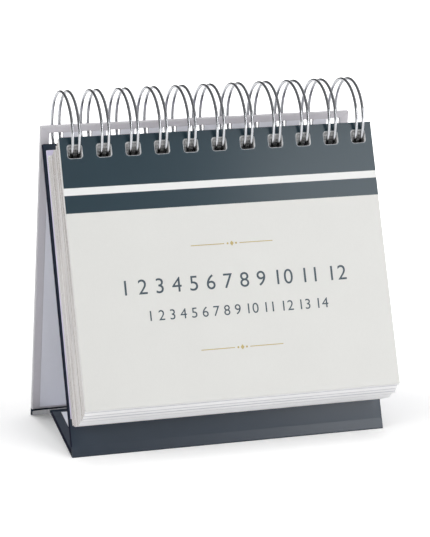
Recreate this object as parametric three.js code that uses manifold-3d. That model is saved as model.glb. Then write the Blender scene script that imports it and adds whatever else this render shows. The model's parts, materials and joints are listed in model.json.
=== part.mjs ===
// Daily desk calendar: a wrapped-board tent stand with a block of leaves hung on a twin-loop wire.
// Millimetres, X to the right, Y to the back, Z up. The stand rests on its two bottom folds at Z = 0.

import * as THREE from 'three';
import { mergeVertices } from 'three/addons/utils/BufferGeometryUtils.js';
import Module from 'manifold-3d';

const wasm = await Module();
wasm.setup();

// Driving dimensions

const radians = THREE.MathUtils.degToRad;

// The punched row that the cover, the leaves and the two tall boards share
const punch = {
  pitch: 12.7,
  width: 6.4,
  corner: 1.2,
  endMargin: 2.0,
};

// Cover and leaves, punched and cut together
const sheet = {
  width: 139.7,
  height: 114.3,
  holeHeight: 5.7,
  aboveHole: 3.35,
};

// As many holes as fit between the least margins at the sheet's two ends
const holeCount = 1 + Math.floor((sheet.width - punch.width - 2 * punch.endMargin) / punch.pitch);

const cover = { thickness: 0.5 };
const backingCard = { thickness: 1.4, liftInHole: 0.35 };

const block = {
  months: 12,
  frontAtHoles: 24.4,
  rearAtHoles: 4.2,
  frontAtFoot: 25.7,
  rearAtFoot: 2.4,
  sheetGap: 0.3,
  grip: 2.0,
  cardGapAtHoles: 0.6,
  cardGapAtFoot: 0.35,
};

// Twin-loop wire: its ring radius is to the middle of the wire, and it sits a little aside in the holes.
// Its rings are placed by where they pass the front board's outer face, and they pass the back board's
// outer face at the rear angle
const wire = {
  diameter: 1.3,
  ringRadius: 16.4,
  sides: 6,
  stepsPerLoop: 20,
  spineGap: 3.3,
  tipGap: 2.7,
  spineAngle: -38,
  tipAngle: -45,
  bendRadius: 1.2,
  clearance: 0.38,
  aside: 0.5,
  aheadOfFront: 12.0,
  aboveFrontHoleFoot: 1.42,
  rearAngle: -17.89,
};

// Boards: a grey core in a printed wrap that is turned in at the edges, lined on the inside
const board = {
  overhang: 0.75,
  wrap: 0.25,
  lining: 0.25,
  core: 1.3,
  glue: 0.1,
  jointGap: 1.0,
  ridgeGap: 1.4,
  hingeGap: 0.2,
};
const boardWidth = sheet.width + 2 * board.overhang;
const thickness = board.wrap + board.glue + board.core + board.glue + board.lining;

const stand = {
  frontLean: 18.4,
  frontLength: 134.5,
  frontHoleHeight: 5.8,
  frontAboveHole: 3.4,
  rearHoleHeight: 9.9,
  rearAboveHole: 2.9,
  rearAboveWire: 5.58,
  depth: 71.3,
  ridgeBack: 35.9,
  ridgeHeight: 10.45,
};

const turnIn = { tall: 3.2, floor: 4.2 };

// Paper that bridges two boards at a fold
const fold = { paper: 0.5, endGap: 0.3, arcSteps: 8, radius: 0.6, landDepth: 0.25 };

// Materials

const paint = (color, roughness, metalness = 0) =>
  new THREE.MeshStandardMaterial({ color, roughness, metalness });

const finish = {
  slate: paint(0x38464f, 0.55),
  greyWrap: paint(0x8f9092, 0.6),
  lining: paint(0xc9ccd4, 0.8),
  greyboard: paint(0x8a8378, 0.95),
  coverCard: paint(0xe3e3df, 0.6),
  paper: paint(0xe9e8e4, 0.85),
  card: paint(0xf1f0ee, 0.8),
  silver: paint(0xb9bcc0, 0.25, 1),
};

// Helpers

function solid(geometry) {
  const bare = geometry.clone();
  bare.deleteAttribute('normal');
  bare.deleteAttribute('uv');
  const merged = mergeVertices(bare, 1e-4);
  return new wasm.Manifold(new wasm.Mesh({
    numProp: 3,
    vertProperties: new Float32Array(merged.attributes.position.array),
    triVerts: new Uint32Array(merged.index.array),
  }));
}

function geometryOf(manifold) {
  const mesh = manifold.getMesh();
  const geometry = new THREE.BufferGeometry();
  geometry.setAttribute('position', new THREE.BufferAttribute(mesh.vertProperties, 3));
  geometry.setIndex(new THREE.BufferAttribute(mesh.triVerts, 1));
  geometry.computeVertexNormals();
  return geometry;
}

function piece(name, geometry, material) {
  const mesh = new THREE.Mesh(geometry, material);
  mesh.name = name;
  return mesh;
}

const holeCentres = Array.from({ length: holeCount }, (_, i) => (i - (holeCount - 1) / 2) * punch.pitch);

// Corners of one punched hole, cut off at 45 degrees, between two heights
function holePath(x, low, high) {
  const half = punch.width / 2;
  const cut = Math.min(punch.corner, half / 2, (high - low) / 4);
  const path = new THREE.Path();
  path.moveTo(x - half + cut, low);
  path.lineTo(x + half - cut, low);
  path.lineTo(x + half, low + cut);
  path.lineTo(x + half, high - cut);
  path.lineTo(x + half - cut, high);
  path.lineTo(x - half + cut, high);
  path.lineTo(x - half, high - cut);
  path.lineTo(x - half, low + cut);
  path.closePath();
  return path;
}

// Flat plate standing on its low edge: it spans low to high in Z and near to far in Y
function plate({ width, low, high, near, far, holes }) {
  const outline = new THREE.Shape();
  outline.moveTo(-width / 2, low);
  outline.lineTo(width / 2, low);
  outline.lineTo(width / 2, high);
  outline.lineTo(-width / 2, high);
  outline.closePath();
  if (holes) outline.holes = holeCentres.map((x) => holePath(x, holes.low, holes.high));
  const geometry = new THREE.ExtrudeGeometry(outline, { depth: far - near, bevelEnabled: false });
  return geometry.rotateX(Math.PI / 2).translate(0, far, 0);
}

// Side plane: points are Vector2 of Y and Z

const at = (y, z) => new THREE.Vector2(y, z);
const along = (degrees) => at(Math.cos(radians(degrees)), Math.sin(radians(degrees)));

function crossing(p, pDirection, q, qDirection) {
  const between = q.clone().sub(p);
  const travel = between.cross(qDirection) / pDirection.cross(qDirection);
  return p.clone().addScaledVector(pDirection, travel);
}

// Span of a punched row along a board, from the board's top edge down
const holesBelow = (top, above, height) => ({ low: top - above - height, high: top - above });

// A board's run: foot is where its outer face meets the corner line, and inward is the side that
// its lining faces, +1 where that is to the right of the way it runs
function run(foot, direction, length, inwardSide) {
  const inward = at(direction.y * inwardSide, -direction.x * inwardSide);
  return { foot, direction, length, inward, inwardSide };
}

const front = run(at(0, 0), along(90 - stand.frontLean), stand.frontLength, 1);

// Ring centre in the side plane, and the frame of the front board: n forward of its outer face, u up
const frontOutward = front.inward.clone().negate();
const onFront = (n, u) => at(0, 0).addScaledVector(frontOutward, n).addScaledVector(front.direction, u);
const frontHoles = holesBelow(stand.frontLength, stand.frontAboveHole, stand.frontHoleHeight);
const ringUp = frontHoles.low + wire.aboveFrontHoleFoot + Math.sqrt(wire.ringRadius ** 2 - wire.aheadOfFront ** 2);
const ring = onFront(wire.aheadOfFront, ringUp);

// The back board leans against the rings
const rearFoot = at(stand.depth, 0);
const rearWire = ring.clone().addScaledVector(along(wire.rearAngle), wire.ringRadius).sub(rearFoot);
const rearLength = rearWire.length() + stand.rearAboveWire;
const rearHoles = holesBelow(rearLength, stand.rearAboveHole, stand.rearHoleHeight);

const ridge = at(stand.ridgeBack, stand.ridgeHeight);
const runs = {
  front,
  floorFront: run(at(0, 0), ridge.clone().normalize(), ridge.length(), -1),
  floorRear: run(rearFoot, ridge.clone().sub(rearFoot).normalize(), ridge.distanceTo(rearFoot), 1),
  rear: run(rearFoot, rearWire.clone().normalize(), rearLength, -1),
};

// Fold axes: just outside both inner faces at the feet, and just under both floor boards at the ridge
function foldAxis(a, b, depth) {
  const p = a.foot.clone().addScaledVector(a.inward, depth);
  const q = b.foot.clone().addScaledVector(b.inward, depth);
  return crossing(p, a.direction, q, b.direction);
}

const axes = {
  frontFold: foldAxis(runs.front, runs.floorFront, thickness - board.hingeGap),
  ridgeFold: foldAxis(runs.floorFront, runs.floorRear, -board.hingeGap),
  rearFold: foldAxis(runs.rear, runs.floorRear, thickness - board.hingeGap),
};

// Centre of the bend where the outer faces of two boards would meet
const foldCentre = (a, b) => foldAxis(a, b, fold.radius);

const distanceAlong = (boardRun, point) => point.clone().sub(boardRun.foot).dot(boardRun.direction);

// Boards

// Turns a piece that stands on the Y = 0 plane into a board's run
function placeOnRun(object, boardRun) {
  object.position.set(0, boardRun.foot.x, boardRun.foot.y);
  object.rotation.x = Math.atan2(boardRun.direction.y, boardRun.direction.x) - Math.PI / 2;
  return object;
}

function boardPieces(name, boardRun, from, to, border, holes, wrapFinish) {
  const side = boardRun.inwardSide;
  const layer = (outer, inner, extra) => plate({
    near: Math.min(side * outer, side * inner),
    far: Math.max(side * outer, side * inner),
    width: boardWidth,
    low: from,
    high: to,
    holes,
    ...extra,
  });
  const inset = (margin) => ({ width: boardWidth - 2 * margin, low: from + margin, high: to - margin });
  const lipFloor = thickness - board.lining;
  const pocket = layer(board.wrap, lipFloor, { ...inset(board.wrap), holes: undefined });
  const window = layer(lipFloor - board.glue, thickness + board.glue, { ...inset(border), holes: undefined });
  const wrap = solid(layer(0, thickness)).subtract(solid(pocket)).subtract(solid(window));
  const coreFace = board.wrap + board.glue;
  const core = layer(coreFace, coreFace + board.core, inset(coreFace));
  const linerSheet = layer(lipFloor, thickness, { ...inset(border + board.glue), holes: undefined });
  const lining = solid(linerSheet).intersect(solid(layer(lipFloor - board.glue, thickness + board.glue)));
  const group = placeOnRun(new THREE.Group(), boardRun);
  group.add(
    piece(`${name}_board`, core, finish.greyboard),
    piece(`${name}_wrap`, geometryOf(wrap), wrapFinish),
    piece(`${name}_lining`, geometryOf(lining), finish.lining),
  );
  return group;
}

function standBoards() {
  const start = (boardRun, axis) => distanceAlong(boardRun, axis) + board.jointGap;
  const end = (boardRun, axis) => distanceAlong(boardRun, axis) - board.ridgeGap;
  const { floorFront, floorRear, rear } = runs;
  return [
    boardPieces('front_panel', front, start(front, axes.frontFold), front.length,
      turnIn.tall, frontHoles, finish.slate),
    boardPieces('floor_front', floorFront, start(floorFront, axes.frontFold), end(floorFront, axes.ridgeFold),
      turnIn.floor, undefined, finish.slate),
    boardPieces('floor_rear', floorRear, start(floorRear, axes.rearFold), end(floorRear, axes.ridgeFold),
      turnIn.floor, undefined, finish.slate),
    boardPieces('back_panel', rear, start(rear, axes.rearFold), rear.length,
      turnIn.tall, rearHoles, finish.greyWrap),
  ];
}

// Folds of the wrap between the boards

// Strip along X whose section is a closed list of side-plane points
function strip(section, width) {
  const outline = new THREE.Shape(section.map((p) => at(p.x, p.y)));
  const geometry = new THREE.ExtrudeGeometry(outline, { depth: width, bevelEnabled: false });
  const toSidePlane = new THREE.Matrix4().makeBasis(
    new THREE.Vector3(0, 1, 0), new THREE.Vector3(0, 0, 1), new THREE.Vector3(1, 0, 0));
  return geometry.applyMatrix4(toSidePlane).translate(-width / 2, 0, 0);
}

// Paper round a bottom corner, flush with both outer faces: a tight bend with a straight lead towards
// each board, and a flat land pressed under it
function cornerFold(axis, a, b, level) {
  const centre = foldCentre(a, b);
  const angleOf = (v) => Math.atan2(v.y, v.x);
  const from = angleOf(a.inward.clone().negate());
  let sweep = angleOf(b.inward.clone().negate()) - from;
  if (sweep < -Math.PI) sweep += 2 * Math.PI;
  if (sweep > Math.PI) sweep -= 2 * Math.PI;
  const arc = (radius) => Array.from({ length: fold.arcSteps + 1 }, (_, i) => {
    const angle = from + (sweep * i) / fold.arcSteps;
    return centre.clone().add(at(radius * Math.cos(angle), radius * Math.sin(angle)));
  });
  const outside = arc(fold.radius);
  const inside = arc(fold.radius - fold.paper).reverse();
  const lead = board.jointGap - fold.endGap;
  const reach = (p, boardRun) => p.clone()
    .addScaledVector(boardRun.direction, distanceAlong(boardRun, axis) + lead - distanceAlong(boardRun, p));
  const section = [
    reach(outside[0], a), ...outside, reach(outside.at(-1), b),
    reach(inside[0], b), ...inside, reach(inside.at(-1), a),
  ];
  const bent = solid(strip(section, boardWidth));
  const below = plate({
    width: boardWidth * 2,
    near: centre.x - 4 * thickness,
    far: centre.x + 4 * thickness,
    low: level - 4 * thickness,
    high: level,
  });
  return geometryOf(bent.subtract(solid(below)));
}

// Paper under the ridge, a flat V between the two floor boards
function ridgeFold() {
  const axis = axes.ridgeFold;
  const lead = board.ridgeGap - fold.endGap;
  const peak = (depth) => foldAxis(runs.floorFront, runs.floorRear, depth);
  const low = peak(0);
  const high = peak(fold.paper);
  const reach = (p, boardRun) => p.clone()
    .addScaledVector(boardRun.direction, distanceAlong(boardRun, axis) - lead - distanceAlong(boardRun, p));
  return strip([
    reach(low, runs.floorFront), low, reach(low, runs.floorRear),
    reach(high, runs.floorRear), high, reach(high, runs.floorFront),
  ], boardWidth);
}

// The ground, where both corner folds are pressed flat
const landLevel = fold.landDepth - fold.radius
  + Math.min(foldCentre(runs.front, runs.floorFront).y, foldCentre(runs.rear, runs.floorRear).y);

// Leaves. The middle ones hang lower, round the rings, but the grip of the block holds them up a little

// Where a sheet that spans near to far (forward of the front board) hangs on the wire: the height of
// its holes' upper edge, clear of the wire on both faces
function hangingHeight(near, far) {
  const clear = wire.ringRadius - wire.diameter / 2 - wire.clearance;
  const height = (n) => ringUp - Math.sqrt(clear ** 2 - (n - wire.aheadOfFront) ** 2);
  return Math.max(height(near), height(far));
}

// A sheet or pack: rear face from (nHoles at the holes) to (nFoot at its foot), and thicker at the foot
// where its leaves stand apart
function hangingSheet(name, { nHoles, nFoot, thick, footThick = thick, lift = 0 }, material) {
  const holeTop = hangingHeight(nHoles, nHoles + thick) + lift;
  const top = holeTop + sheet.aboveHole;
  const tilt = Math.atan2(nFoot - nHoles, sheet.height - sheet.aboveHole);
  const geometry = plate({
    width: sheet.width,
    low: -sheet.height,
    high: 0,
    near: -thick,
    far: 0,
    holes: { low: -sheet.aboveHole - sheet.holeHeight, high: -sheet.aboveHole },
  });
  const position = geometry.attributes.position;
  for (let i = 0; i < position.count; i += 1) {
    const down = -position.getZ(i) / sheet.height;
    position.setY(i, position.getY(i) * (1 + down * (footThick / thick - 1)));
  }
  const mesh = piece(name, geometry, material);
  mesh.position.set(0, -nHoles, top);
  mesh.rotation.x = -tilt;
  return mesh;
}

function calendarBlock() {
  const group = placeOnRun(new THREE.Group(), runs.front);
  const pitchAtHoles = (block.frontAtHoles - block.rearAtHoles) / block.months;
  const pitchAtFoot = (block.frontAtFoot - block.rearAtFoot) / block.months;
  for (let month = 1; month <= block.months; month += 1) {
    const fromRear = block.months - month;
    const share = (fromRear + 0.5) / block.months;
    group.add(hangingSheet(`leaves_month_${String(month).padStart(2, '0')}`, {
      nHoles: block.rearAtHoles + fromRear * pitchAtHoles,
      nFoot: block.rearAtFoot + fromRear * pitchAtFoot,
      thick: pitchAtHoles - block.sheetGap,
      footThick: pitchAtFoot - block.sheetGap,
      lift: block.grip * 4 * share * (1 - share),
    }, finish.paper));
  }
  group.add(hangingSheet('cover_sheet', {
    nHoles: block.frontAtHoles,
    nFoot: block.frontAtFoot,
    thick: cover.thickness,
  }, finish.coverCard));
  // The stiff card stands against the front board, pushed up until the wire is low in its holes
  const cardHoles = block.rearAtHoles - block.cardGapAtHoles - backingCard.thickness;
  const slack = sheet.holeHeight - wire.diameter - wire.clearance - backingCard.liftInHole;
  group.add(hangingSheet('backing_card', {
    nHoles: cardHoles,
    nFoot: block.cardGapAtFoot,
    thick: backingCard.thickness,
    lift: slack / 2,
  }, finish.card));
  return group;
}

// Twin-loop wire: one unbroken wire bent into hairpins, rolled round so that each hairpin's tip meets
// the spine inside the stand

const turn = 360;

function onRing(x, degrees) {
  const outward = along(degrees).multiplyScalar(wire.ringRadius);
  return new THREE.Vector3(x, ring.x + outward.x, ring.y + outward.y);
}

// Half the distance between a hairpin's two legs, narrowing from the spine to the tip
function halfGap(degrees) {
  const share = (degrees - wire.spineAngle) / (turn + wire.tipAngle - wire.spineAngle);
  return THREE.MathUtils.lerp(wire.spineGap, wire.tipGap, share) / 2;
}

const degreesOf = (length) => (length / wire.ringRadius) * (180 / Math.PI);

function wirePath() {
  const points = [];
  const bend = degreesOf(wire.bendRadius);
  const tipRadius = wire.tipGap / 2;
  const tipBend = degreesOf(tipRadius);
  const first = wire.spineAngle + bend;
  const last = turn + wire.tipAngle - tipBend;
  holeCentres.forEach((centre, i) => {
    const x = centre + wire.aside;
    const leg = Array.from({ length: wire.stepsPerLoop + 1 }, (_, k) =>
      THREE.MathUtils.lerp(first, last, k / wire.stepsPerLoop));
    const spineHalf = wire.spineGap / 2;
    // From the spine into the left leg
    if (i > 0) {
      [0, 30, 60].forEach((a) => points.push(onRing(
        x - spineHalf - wire.bendRadius * (1 - Math.sin(radians(a))),
        wire.spineAngle + bend * (1 - Math.cos(radians(a))))));
    }
    leg.forEach((angle) => points.push(onRing(x - halfGap(angle), angle)));
    // Round the tip
    [-60, -30, 0, 30, 60].forEach((a) => points.push(onRing(
      x + tipRadius * Math.sin(radians(a)),
      last + tipBend * Math.cos(radians(a)))));
    leg.reverse().forEach((angle) => points.push(onRing(x + halfGap(angle), angle)));
    // From the right leg back into the spine
    if (i < holeCount - 1) {
      [60, 30, 0].forEach((a) => points.push(onRing(
        x + spineHalf + wire.bendRadius * (1 - Math.sin(radians(a))),
        wire.spineAngle + bend * (1 - Math.cos(radians(a))))));
    }
  });
  return points;
}

// Round section swept along a list of points, closed at both ends
function sweep(points, radius, sides) {
  const positions = [];
  const index = [];
  const tangents = points.map((_, i) => points[Math.min(i + 1, points.length - 1)].clone()
    .sub(points[Math.max(i - 1, 0)]).normalize());
  let normal = new THREE.Vector3(1, 0, 0).cross(tangents[0]).normalize();
  points.forEach((point, i) => {
    if (i > 0) {
      const swing = new THREE.Quaternion().setFromUnitVectors(tangents[i - 1], tangents[i]);
      normal = normal.clone().applyQuaternion(swing);
    }
    const binormal = tangents[i].clone().cross(normal);
    for (let k = 0; k < sides; k += 1) {
      const angle = (2 * Math.PI * k) / sides;
      const corner = point.clone()
        .addScaledVector(normal, radius * Math.cos(angle))
        .addScaledVector(binormal, radius * Math.sin(angle));
      positions.push(corner.x, corner.y, corner.z);
    }
  });
  const corner = (i, k) => i * sides + (k % sides);
  for (let i = 0; i < points.length - 1; i += 1) {
    for (let k = 0; k < sides; k += 1) {
      index.push(corner(i, k), corner(i, k + 1), corner(i + 1, k + 1));
      index.push(corner(i, k), corner(i + 1, k + 1), corner(i + 1, k));
    }
  }
  for (let k = 1; k < sides - 1; k += 1) {
    index.push(corner(0, 0), corner(0, k + 1), corner(0, k));
    index.push(corner(points.length - 1, 0), corner(points.length - 1, k), corner(points.length - 1, k + 1));
  }
  const geometry = new THREE.BufferGeometry();
  geometry.setAttribute('position', new THREE.Float32BufferAttribute(positions, 3));
  geometry.setIndex(index);
  geometry.computeVertexNormals();
  return geometry;
}

// Least gap between stretches of the wire that aren't neighbours along it
function leastSelfGap(points, diameter) {
  const apart = [0];
  for (let i = 1; i < points.length; i += 1) apart.push(apart[i - 1] + points[i].distanceTo(points[i - 1]));
  let least = Infinity;
  for (let i = 0; i < points.length; i += 1) {
    for (let j = i + 1; j < points.length; j += 1) {
      const neighbours = apart[j] - apart[i] < Math.PI * wire.bendRadius + diameter;
      if (!neighbours) least = Math.min(least, points[i].distanceTo(points[j]) - diameter);
    }
  }
  return least;
}

// Assembly

const calendar = new THREE.Group();
const route = wirePath();
calendar.add(
  ...standBoards(),
  piece('front_fold', cornerFold(axes.frontFold, runs.front, runs.floorFront, landLevel), finish.slate),
  piece('ridge_fold', ridgeFold(), finish.slate),
  piece('rear_fold', cornerFold(axes.rearFold, runs.rear, runs.floorRear, landLevel), finish.slate),
  calendarBlock(),
  piece('twin_loop_wire', sweep(route, wire.diameter / 2, wire.sides), finish.silver),
);
console.log(`twin_loop_wire: least gap to itself ${leastSelfGap(route, wire.diameter).toFixed(2)} mm`);

// The origin is on the ground under the middle of the outline
calendar.updateMatrixWorld(true);
const extent = new THREE.Box3().setFromObject(calendar, true);
calendar.position.set(0, -(extent.min.y + extent.max.y) / 2, -landLevel);
calendar.updateMatrixWorld(true);

export default calendar;
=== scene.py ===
"""Daily desk calendar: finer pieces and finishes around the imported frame.

Sizes are in millimetres, as in the part, and world() turns them into the scene's metres. The shaders,
the lamps and the floor are in metres.
"""

import json
import math
import random

import bmesh
import bpy
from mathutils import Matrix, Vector

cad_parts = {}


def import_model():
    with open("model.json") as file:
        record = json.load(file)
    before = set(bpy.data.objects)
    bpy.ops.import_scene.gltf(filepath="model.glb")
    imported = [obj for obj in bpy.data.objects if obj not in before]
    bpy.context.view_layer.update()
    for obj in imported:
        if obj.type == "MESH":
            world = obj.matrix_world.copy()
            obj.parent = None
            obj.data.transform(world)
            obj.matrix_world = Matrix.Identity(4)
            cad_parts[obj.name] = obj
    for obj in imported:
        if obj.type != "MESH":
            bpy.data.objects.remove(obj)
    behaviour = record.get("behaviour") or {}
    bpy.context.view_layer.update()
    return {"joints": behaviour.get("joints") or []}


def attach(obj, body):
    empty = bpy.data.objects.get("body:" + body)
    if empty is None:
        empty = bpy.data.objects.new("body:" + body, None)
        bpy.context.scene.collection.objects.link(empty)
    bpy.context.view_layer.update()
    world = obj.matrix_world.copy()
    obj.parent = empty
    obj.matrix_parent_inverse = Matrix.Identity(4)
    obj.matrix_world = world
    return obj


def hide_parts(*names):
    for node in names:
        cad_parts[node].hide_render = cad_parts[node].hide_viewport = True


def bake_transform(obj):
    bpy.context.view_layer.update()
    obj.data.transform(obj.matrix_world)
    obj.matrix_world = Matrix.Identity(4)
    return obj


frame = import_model()
MM = 0.001

# Driving dimensions, the same as the part's

# The punched row, and the sheets: as many holes as fit between the least margins at a sheet's ends
PITCH, END_MARGIN = 12.7, 2.0
HOLE_W, HOLE_CORNER = 6.4, 1.2
SHEET_W, SHEET_H = 139.7, 114.3
SHEET_HOLE_TOP, SHEET_HOLE_H = 3.35, 5.7
HOLES = 1 + math.floor((SHEET_W - HOLE_W - 2 * END_MARGIN) / PITCH)
COVER_T, CARD_T = 0.5, 1.4

# The block's two faces, forward of the front board: at the holes, and at the foot
BLOCK_FRONT = (24.4, 25.7)
BLOCK_REAR = (4.2, 2.4)
BLOCK_GRIP = 2.0
MONTHS = 12
CARD_GAP_AT_HOLES, CARD_GAP_AT_FOOT = 0.6, 0.35
CARD_LIFT_IN_HOLE = 0.35

# The rings' middle is forward of the front board. They pass its outer face just above the foot of its
# holes, and the back board's outer face at the rear angle
WIRE_R, RING_R = 0.65, 16.4
RING_AHEAD, RING_ABOVE_HOLE_FOOT = 12.0, 1.42
REAR_ANGLE = math.radians(-17.89)

# Each loop stands a little aside of its hole's middle, and the gap between its legs narrows to its tip
WIRE_ASIDE, WIRE_CLEARANCE = 0.5, 0.38
SPINE_GAP, TIP_GAP = 3.3, 2.7
SPINE_ANGLE, TIP_ANGLE = -38.0, -45.0
WIRE_BEND = 1.2

# Boards, and their holes as the distance below the board's top and the height. The back board goes on
# above the place where the rings pass it
BOARD_OVERHANG, BOARD_T = 0.75, 2.0
BOARD_W = SHEET_W + 2 * BOARD_OVERHANG
FRONT_LEAN = math.radians(18.4)
FRONT_LEN = 134.5
FRONT_HOLES = (3.4, 5.8)
REAR_HOLES = (2.9, 9.9)
REAR_ABOVE_WIRE = 5.58
STAND_DEPTH = 71.3
RIDGE = Vector((35.9, 10.45))
HINGE_GAP = 0.2
CORNER_GAP, RIDGE_GAP = 1.0, 1.4
FOLD_R, LAND_DEPTH = 0.6, 0.25

HOLE_CENTRES = [(i - (HOLES - 1) / 2) * PITCH for i in range(HOLES)]

# Side plane: points are Vectors of depth and height

RING_UP = (FRONT_LEN - sum(FRONT_HOLES) + RING_ABOVE_HOLE_FOOT
           + math.sqrt(RING_R ** 2 - RING_AHEAD ** 2))
FRONT_DIR = Vector((math.sin(FRONT_LEAN), math.cos(FRONT_LEAN)))
FRONT_OUT = Vector((-math.cos(FRONT_LEAN), math.sin(FRONT_LEAN)))


def on_front(ahead, up):
    """Point ahead of the front board's outer face, and up from its foot."""
    return FRONT_DIR * up + FRONT_OUT * ahead


# The rings' middle is where the cover turns, which the frame states in its own coordinates
RING_MIDDLE = on_front(RING_AHEAD, RING_UP)
turn_joint = next(j for j in frame["joints"] if j["name"] == "cover_turn")
SHIFT = Vector(turn_joint["pos_m"][1:]) / MM - RING_MIDDLE


def world(x, p):
    """Millimetres across and a point of the side plane, to metres in the frame."""
    return Vector((x, p[0] + SHIFT[0], p[1] + SHIFT[1])) * MM


def polar(angle):
    """Side-plane direction at an angle from straight back."""
    return Vector((math.cos(angle), math.sin(angle)))


def cross2(a, b):
    return a[0] * b[1] - a[1] * b[0]


def meet(p, p_dir, q, q_dir):
    """Where two lines of the side plane cross."""
    return p + p_dir * (cross2(q - p, q_dir) / cross2(p_dir, q_dir))


class Run:
    """A board's outer face in the side plane: its foot, its direction, and the side its lining faces."""

    def __init__(self, foot, direction, length, side):
        self.foot = foot
        self.dir = direction.normalized()
        self.length = length
        self.inward = Vector((self.dir[1], -self.dir[0])) * side

    def at(self, along, depth):
        """Point so far along from the foot, and so deep inside the outer face."""
        return self.foot + self.dir * along + self.inward * depth

    def along(self, p):
        return (p - self.foot).dot(self.dir)


def fold_axis(a, b, depth):
    """Where two boards would meet, so deep inside their outer faces."""
    return meet(a.at(0, depth), a.dir, b.at(0, depth), b.dir)


front_foot, rear_foot = Vector((0, 0)), Vector((STAND_DEPTH, 0))
rear_wire = RING_MIDDLE + polar(REAR_ANGLE) * RING_R - rear_foot
front = Run(front_foot, FRONT_DIR, FRONT_LEN, 1)
rear = Run(rear_foot, rear_wire, rear_wire.length + REAR_ABOVE_WIRE, -1)
floor_front = Run(front_foot, RIDGE, RIDGE.length, -1)
floor_rear = Run(rear_foot, RIDGE - rear_foot, (RIDGE - rear_foot).length, 1)

FRONT_CREASE = fold_axis(front, floor_front, BOARD_T - HINGE_GAP)
REAR_CREASE = fold_axis(rear, floor_rear, BOARD_T - HINGE_GAP)
RIDGE_CREASE = fold_axis(floor_front, floor_rear, -HINGE_GAP)

# Shader helpers


def linear(rgb):
    """sRGB from 0 to 255, to linear."""
    out = []
    for value in rgb:
        share = value / 255
        out.append(share / 12.92 if share <= 0.04045 else ((share + 0.055) / 1.055) ** 2.4)
    return (*out, 1.0)


def shade(colour, strength):
    """A linear colour made darker or lighter."""
    return tuple(min(1.0, v * strength) for v in colour[:3]) + (1.0,)


class Nodes:
    """Builds the shader of a material or a world."""

    def __init__(self, owner, output="ShaderNodeOutputMaterial"):
        self.owner = owner
        owner.use_nodes = True
        self.tree = owner.node_tree
        self.tree.nodes.clear()
        self.out = self.add(output)
        self.coord = self.add("ShaderNodeTexCoord")

    def add(self, kind, **values):
        made = self.tree.nodes.new(kind)
        for key, value in values.items():
            if key in made.inputs:
                made.inputs[key].default_value = value
            else:
                setattr(made, key, value)
        return made

    def link(self, a, b):
        self.tree.links.new(a, b)

    def give(self, value, place):
        """Gives an input a socket or a number."""
        if isinstance(value, float):
            place.default_value = value
        else:
            self.link(value, place)

    def feed(self, made, *values):
        """Gives a node's inputs a socket or a number each, in order. Returns its first output."""
        for place, value in zip(made.inputs, values):
            self.give(value, place)
        return made.outputs[0]

    def finish(self, shader):
        self.link(shader, self.out.inputs["Surface"])
        return self.owner

    def finish_surface(self, values):
        """The finished material, from a socket or a number for each input of the Principled shader."""
        made = self.add("ShaderNodeBsdfPrincipled")
        for key, value in values.items():
            self.give(value, made.inputs[key])
        return self.finish(made.outputs["BSDF"])

    def scaled(self, scale, lean=0.0):
        """Object coordinates, turned upright by lean and then stretched."""
        source = self.coord.outputs["Object"]
        if lean:
            upright = self.add("ShaderNodeMapping")
            upright.inputs["Rotation"].default_value = (lean, 0.0, 0.0)
            self.link(source, upright.inputs["Vector"])
            source = upright.outputs["Vector"]
        stretched = self.add("ShaderNodeMapping")
        stretched.inputs["Scale"].default_value = scale
        self.link(source, stretched.inputs["Vector"])
        return stretched.outputs["Vector"]

    def noise(self, scale, detail, rough=0.55, vector=None):
        made = self.add("ShaderNodeTexNoise", Scale=scale, Detail=detail, Roughness=rough)
        self.link(vector or self.coord.outputs["Object"], made.inputs["Vector"])
        return made.outputs["Fac"]

    def ramp(self, value, stops):
        """Colours by a value, from stops of (position, colour)."""
        made = self.add("ShaderNodeValToRGB")
        elements = made.color_ramp.elements
        while len(elements) < len(stops):
            elements.new(0.5)
        for element, (position, colour) in zip(elements, stops):
            element.position = position
            element.color = colour
        self.link(value, made.inputs["Fac"])
        return made.outputs["Color"]

    def bump(self, height, distance, normal=None):
        """Relief whose height is a share of a distance, on top of another relief."""
        made = self.add("ShaderNodeBump", Distance=distance, Strength=1.0)
        self.link(height, made.inputs["Height"])
        if normal:
            self.link(normal, made.inputs["Normal"])
        return made.outputs["Normal"]

    def spread(self, value, low, high, start=0.0, stop=1.0):
        """Value from start to stop, spread over low to high and held there beyond."""
        made = self.add("ShaderNodeMapRange")
        for key, limit in (("From Min", start), ("From Max", stop), ("To Min", low), ("To Max", high)):
            made.inputs[key].default_value = limit
        self.link(value, made.inputs["Value"])
        return made.outputs["Result"]

    def blend(self, a, b, share):
        """Between two values: a, and b where share is 1."""
        made = self.add("ShaderNodeMix", data_type="FLOAT")
        made.inputs[0].default_value = share
        self.link(a, made.inputs[2])
        self.link(b, made.inputs[3])
        return made.outputs[0]

    def compute(self, operation, *values):
        """A Math node whose inputs are sockets or numbers."""
        return self.feed(self.add("ShaderNodeMath", operation=operation), *values)

    def choose(self, share, a, b):
        """Shader a, and shader b where share is 1."""
        return self.feed(self.add("ShaderNodeMixShader"), share, a, b)


# Materials. Heights of relief are in metres, and scales of noise are per metre

FIBRE_SCALE, FIBRE_STRETCH, FIBRE_SHARE = 1600.0, (1.0, 1.0, 0.35), 0.45
TOOTH_SCALE, TOOTH_SHARE = 5200.0, 0.6
SMOOTHER, ROUGHER = 0.05, 0.08


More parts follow.
